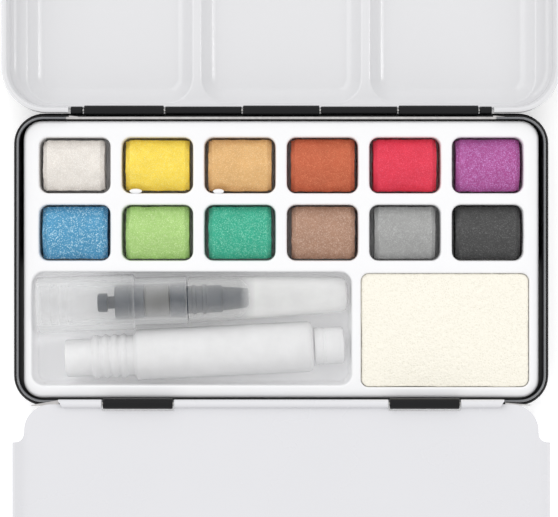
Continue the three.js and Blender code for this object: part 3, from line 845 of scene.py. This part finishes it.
# ---- Sponge --------------------------------------------------------------------------
# A block of fine cream foam, sawn square with softened corners, lying in its own bay.
foam = bpy.data.materials.new("cream_foam")
foam.use_nodes = True
foam_nodes, foam_links = foam.node_tree.nodes, foam.node_tree.links
foam_gloss = foam_nodes["Principled BSDF"]
foam_gloss.inputs["Roughness"].default_value = 0.95
foam_gloss.inputs["Specular IOR Level"].default_value = 0.2
foam_place = foam_nodes.new("ShaderNodeTexCoord")
foam_pores = foam_nodes.new("ShaderNodeTexVoronoi")
foam_pores.inputs["Scale"].default_value = 1900
foam_fine = foam_nodes.new("ShaderNodeTexNoise")
foam_fine.inputs["Scale"].default_value = 2600
foam_fine.inputs["Detail"].default_value = 4
foam_sum = foam_nodes.new("ShaderNodeMath")
foam_sum.operation = "ADD"
foam_bump = foam_nodes.new("ShaderNodeBump")
foam_bump.inputs["Strength"].default_value = 0.6
foam_bump.inputs["Distance"].default_value = 0.00025
# Painted shade and light: the bump's own height makes the cream darker in the pores and lighter
# between them.
foam_tint_and_pore_shade = foam_nodes.new("ShaderNodeMix")
foam_tint_and_pore_shade.data_type = "RGBA"
foam_tint_and_pore_shade.inputs["A"].default_value = (0.74, 0.70, 0.57, 1)
foam_tint_and_pore_shade.inputs["B"].default_value = (0.90, 0.865, 0.765, 1)
foam_range = foam_nodes.new("ShaderNodeMapRange")
foam_range.inputs["From Min"].default_value = 0.2
foam_range.inputs["From Max"].default_value = 0.9
foam_links.new(foam_place.outputs["Object"], foam_pores.inputs["Vector"])
foam_links.new(foam_place.outputs["Object"], foam_fine.inputs["Vector"])
foam_links.new(foam_pores.outputs["Distance"], foam_sum.inputs[0])
foam_links.new(foam_fine.outputs["Fac"], foam_sum.inputs[1])
foam_links.new(foam_sum.outputs["Value"], foam_range.inputs["Value"])
foam_links.new(foam_range.outputs["Result"], foam_tint_and_pore_shade.inputs["Factor"])
foam_links.new(foam_tint_and_pore_shade.outputs["Result"], foam_gloss.inputs["Base Color"])
foam_links.new(foam_sum.outputs["Value"], foam_bump.inputs["Height"])
foam_links.new(foam_bump.outputs["Normal"], foam_gloss.inputs["Normal"])

low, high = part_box("sponge")
middle = ((low.x + high.x) / 2 / MM, (low.y + high.y) / 2 / MM)
sponge = plate(
    "sponge_block", (high.x - low.x) / MM + 0.5, (high.y - low.y) / MM + 0.3, 1.9,
    low.z / MM + 0.8, middle, 6,
)
lift((high.z - low.z) / MM - 1.6)
bpy.ops.transform.resize(value=(1.019, 1.025, 1))
press([(0.15, 0.35), (0.35, 0.15)])
pick(lambda face: face.normal.z < -0.9 and len(face.verts) > 4)
press([(0.15, -0.35), (0.35, -0.15)])
leave()
sponge.data.remesh_voxel_size = 0.35 * MM
bpy.ops.object.voxel_remesh()
pores = bpy.data.textures.new("pores", "CLOUDS")
pores.noise_scale = 0.0009
pores.noise_depth = 2
swell = bpy.data.textures.new("swell", "CLOUDS")
swell.noise_scale = 0.012
for texture, strength in ((swell, 0.0004), (pores, 0.00022)):
    push = sponge.modifiers.new("push", "DISPLACE")
    push.texture = texture
    push.texture_coords = "GLOBAL"
    push.strength = strength
    push.mid_level = 0.6
    bpy.ops.object.modifier_apply(modifier=push.name)
bpy.ops.object.shade_smooth()
sponge.data.materials.clear()
sponge.data.materials.append(foam)
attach(sponge, "sponge")
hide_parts("sponge")


# ---- Brush head ----------------------------------------------------------------------
# The clear screw socket holds a slate feed, a foam wick and the ribbed ferrule of a nylon
# brush; a translucent cap covers the hair. All are turned shapes on one level axis.
def moulded(name, colour, roughness, ripple=0.2):
    """Injection-moulded plastic with faint flow marks."""
    plastic = bpy.data.materials.new(name)
    plastic.use_nodes = True
    nodes, links = plastic.node_tree.nodes, plastic.node_tree.links
    gloss = nodes["Principled BSDF"]
    place = nodes.new("ShaderNodeTexCoord")
    flow = nodes.new("ShaderNodeTexNoise")
    flow.name = "flow"
    flow.inputs["Scale"].default_value = 230
    flow.inputs["Detail"].default_value = 4
    links.new(place.outputs["Object"], flow.inputs["Vector"])
    tone = nodes.new("ShaderNodeMix")
    tone.data_type = "RGBA"
    tone.inputs["A"].default_value = (*[c * 0.95 for c in colour], 1)
    tone.inputs["B"].default_value = (*colour, 1)
    links.new(flow.outputs["Fac"], tone.inputs["Factor"])
    links.new(tone.outputs["Result"], gloss.inputs["Base Color"])
    dull = nodes.new("ShaderNodeMapRange")
    dull.inputs["To Min"].default_value = roughness
    dull.inputs["To Max"].default_value = roughness + 0.1
    links.new(flow.outputs["Fac"], dull.inputs["Value"])
    links.new(dull.outputs["Result"], gloss.inputs["Roughness"])
    skin = nodes.new("ShaderNodeBump")
    skin.inputs["Strength"].default_value = ripple
    skin.inputs["Distance"].default_value = 0.0001
    links.new(flow.outputs["Fac"], skin.inputs["Height"])
    links.new(skin.outputs["Normal"], gloss.inputs["Normal"])
    return plastic


def see_through(plastic, thin, thick, edge):
    """Lets light through, less so where the wall is seen edge on."""
    nodes, links = plastic.node_tree.nodes, plastic.node_tree.links
    facing = nodes.new("ShaderNodeLayerWeight")
    facing.inputs["Blend"].default_value = 0.4
    veil = nodes.new("ShaderNodeMapRange")
    veil.inputs["From Min"].default_value = 0.3
    veil.inputs["From Max"].default_value = 0.7
    veil.inputs["To Min"].default_value = thin
    veil.inputs["To Max"].default_value = thick
    dense = nodes.new("ShaderNodeMix")
    dense.inputs["B"].default_value = edge
    links.new(nodes["flow"].outputs["Fac"], veil.inputs["Value"])
    links.new(facing.outputs["Facing"], dense.inputs["Factor"])
    links.new(veil.outputs["Result"], dense.inputs["A"])
    links.new(dense.outputs["Result"], nodes["Principled BSDF"].inputs["Alpha"])


clear_plastic = moulded("clear_plastic", (0.95, 0.955, 0.96), 0.04, 0.1)
see_through(clear_plastic, 0.05, 0.09, 0.75)
cap_plastic = moulded("cap_plastic", (0.97, 0.97, 0.965), 0.2)
see_through(cap_plastic, 0.06, 0.09, 0.55)
# The cap is clearer over the ferrule and milkier over the hair.
cap_nodes, cap_links = cap_plastic.node_tree.nodes, cap_plastic.node_tree.links
cap_along = cap_nodes.new("ShaderNodeSeparateXYZ")
cap_milk = cap_nodes.new("ShaderNodeMapRange")
cap_milk.inputs["From Min"].default_value = -0.0105
cap_milk.inputs["From Max"].default_value = -0.0065
cap_milk.inputs["To Max"].default_value = 0.3
cap_sum = cap_nodes.new("ShaderNodeMath")
cap_sum.operation = "ADD"
cap_sum.use_clamp = True
cap_gloss = cap_nodes["Principled BSDF"]
cap_links.new(cap_nodes["Texture Coordinate"].outputs["Object"], cap_along.inputs["Vector"])
cap_links.new(cap_along.outputs["X"], cap_milk.inputs["Value"])
cap_links.new(cap_gloss.inputs["Alpha"].links[0].from_socket, cap_sum.inputs[0])
cap_links.new(cap_milk.outputs["Result"], cap_sum.inputs[1])
cap_links.new(cap_sum.outputs["Value"], cap_gloss.inputs["Alpha"])
slate_plastic = moulded("slate_plastic", (0.010, 0.022, 0.040), 0.3)
frosted_plastic = moulded("frosted_plastic", (0.9, 0.9, 0.905), 0.36)
see_through(frosted_plastic, 0.66, 0.7, 0.8)
wick_foam = moulded("wick_foam", (0.13, 0.13, 0.125), 0.9, 1.0)
nylon = moulded("nylon", (0.93, 0.93, 0.92), 0.5, 0.6)
see_through(nylon, 0.1, 0.2, 0.3)

head_from = (-62.1, -11.65, 9.0)
head_to = (17.2, -8.85, 9.0)
# Each piece's outline is (along, radius) steps in millimetres from the socket's open end.
head_pieces = {
    "socket": ("brush_socket", clear_plastic, "clear_plastic", True, [
        (1.6, 6.2), (0.8, 6.5), (0.2, 6.75), (0, 6.95), (0.35, 7.05), (1, 7.1), (24.2, 7.1),
        (24.6, 6.95), (24.9, 6.6), (24.9, 6.15), (38.0, 6.15), (38.2, 5.95), (38.2, 5.2),
        (16, 5.2), (14.6, 5.6), (9.6, 5.9), (9.1, 6.2), (8.3, 6.2), (7.8, 5.9), (6.9, 6.2),
        (6.1, 6.2), (5.6, 5.9), (4.7, 6.2), (3.9, 6.2), (3.4, 5.9), (2.4, 6.2),
    ]),
    "feed": ("brush_feed", slate_plastic, "slate_plastic", False, [
        (15.3, 2.1), (15.6, 2.4), (17.7, 2.4), (17.9, 1.6), (19.6, 1.6), (19.8, 4.3),
        (20.1, 4.5), (23.2, 4.5), (23.4, 4.3), (23.7, 4.3), (23.9, 4.5), (27.1, 4.5), (27.3, 4.3),
    ]),
    "wick": ("brush_wick", wick_foam, "wick_foam", False, [
        (27.6, 4.1), (27.8, 4.3), (33.4, 4.3), (33.6, 4.1),
    ]),
    "ferrule": ("brush_ferrule", slate_plastic, "slate_plastic", False, [
        (33.9, 4.3), (34.1, 4.5), (37.7, 4.5), (38, 3.6), (39.4, 3.5), (39.6, 3.8), (40.4, 3.8),
        (40.6, 3.5), (42, 3.5), (42.2, 3.8), (43, 3.8), (43.2, 3.5), (46.8, 3.5), (47.4, 3),
        (49.4, 2.9), (53.8, 2.45), (53.8, 2.1), (50.4, 2.1),
    ]),
    "bristles": ("brush_bristles", nylon, "nylon", False, [
        (50.7, 1.8), (54.4, 1.8), (57, 2.2), (60, 2), (64, 1.3), (68, 0.5), (69.4, 0.05),
    ]),
    "cap": ("brush_cap", cap_plastic, "cap_plastic", False, [
        (77.9, 0.05), (77.9, 2.2), (77, 3.3), (74, 4), (60, 4.6), (45, 5.1), (38.5, 5.2),
        (38.5, 5.7), (38.9, 5.85), (45, 5.8), (60, 5.3), (74, 4.7), (77.4, 4.5), (78.6, 3.9),
        (79.1, 2.4), (79.28, 0.05),
    ]),
}
for name, (node, plastic, slot, through, outline) in head_pieces.items():
    piece = turned("head_" + name, outline, head_from, head_to, 48, through)
    piece.data.materials.append(plastic)
    smooth(piece)
    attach(piece, "brush_head")
    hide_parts(node)


# ---- Barrel --------------------------------------------------------------------------
# The frosted squeeze barrel that holds the water, with its screw neck to the left and a
# plug in its other end. It lies in front of the head.
barrel_from = (-54.9, -25.3, 8.4)
barrel_to = (16.3, -21.8, 8.4)
# Four rings stand in for the screw thread on the neck.
crests = [
    step
    for at in (7.9, 10.3, 12.6, 14.9)
    for step in ((at - 0.9, 5.15), (at - 0.35, 5.6), (at, 5.7), (at + 0.35, 5.6), (at + 0.9, 5.15))
]
barrel = turned("barrel_tube", [
    (62, 0.05), (62, 4.8), (61.2, 5.6), (19.4, 5.6), (18, 3.9), (0, 3.9), (0, 4.6), (0.4, 4.8),
    (6.7, 4.8), *crests, (17.4, 5.15), (18, 6), (18.2, 6.3), (18.6, 6.5),
    (61.8, 6.5), (62.4, 6.3), (62.8, 6), (63.2, 5), (63.2, 0.05),
], barrel_from, barrel_to, 48)
barrel.data.materials.append(frosted_plastic)
smooth(barrel)
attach(barrel, "barrel")
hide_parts("barrel")

plug = turned("barrel_end_plug", [
    (63.5, 4.6), (63.8, 4.75), (65.6, 4.75), (65.8, 4.6), (66.2, 4.6), (66.4, 4.75),
    (70.3, 4.75), (70.8, 4.5), (71.1, 3.9), (71.2, 3.0),
], barrel_from, barrel_to, 48)
plug.data.materials.append(frosted_plastic)
smooth(plug)
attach(plug, "barrel")
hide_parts("barrel_plug")
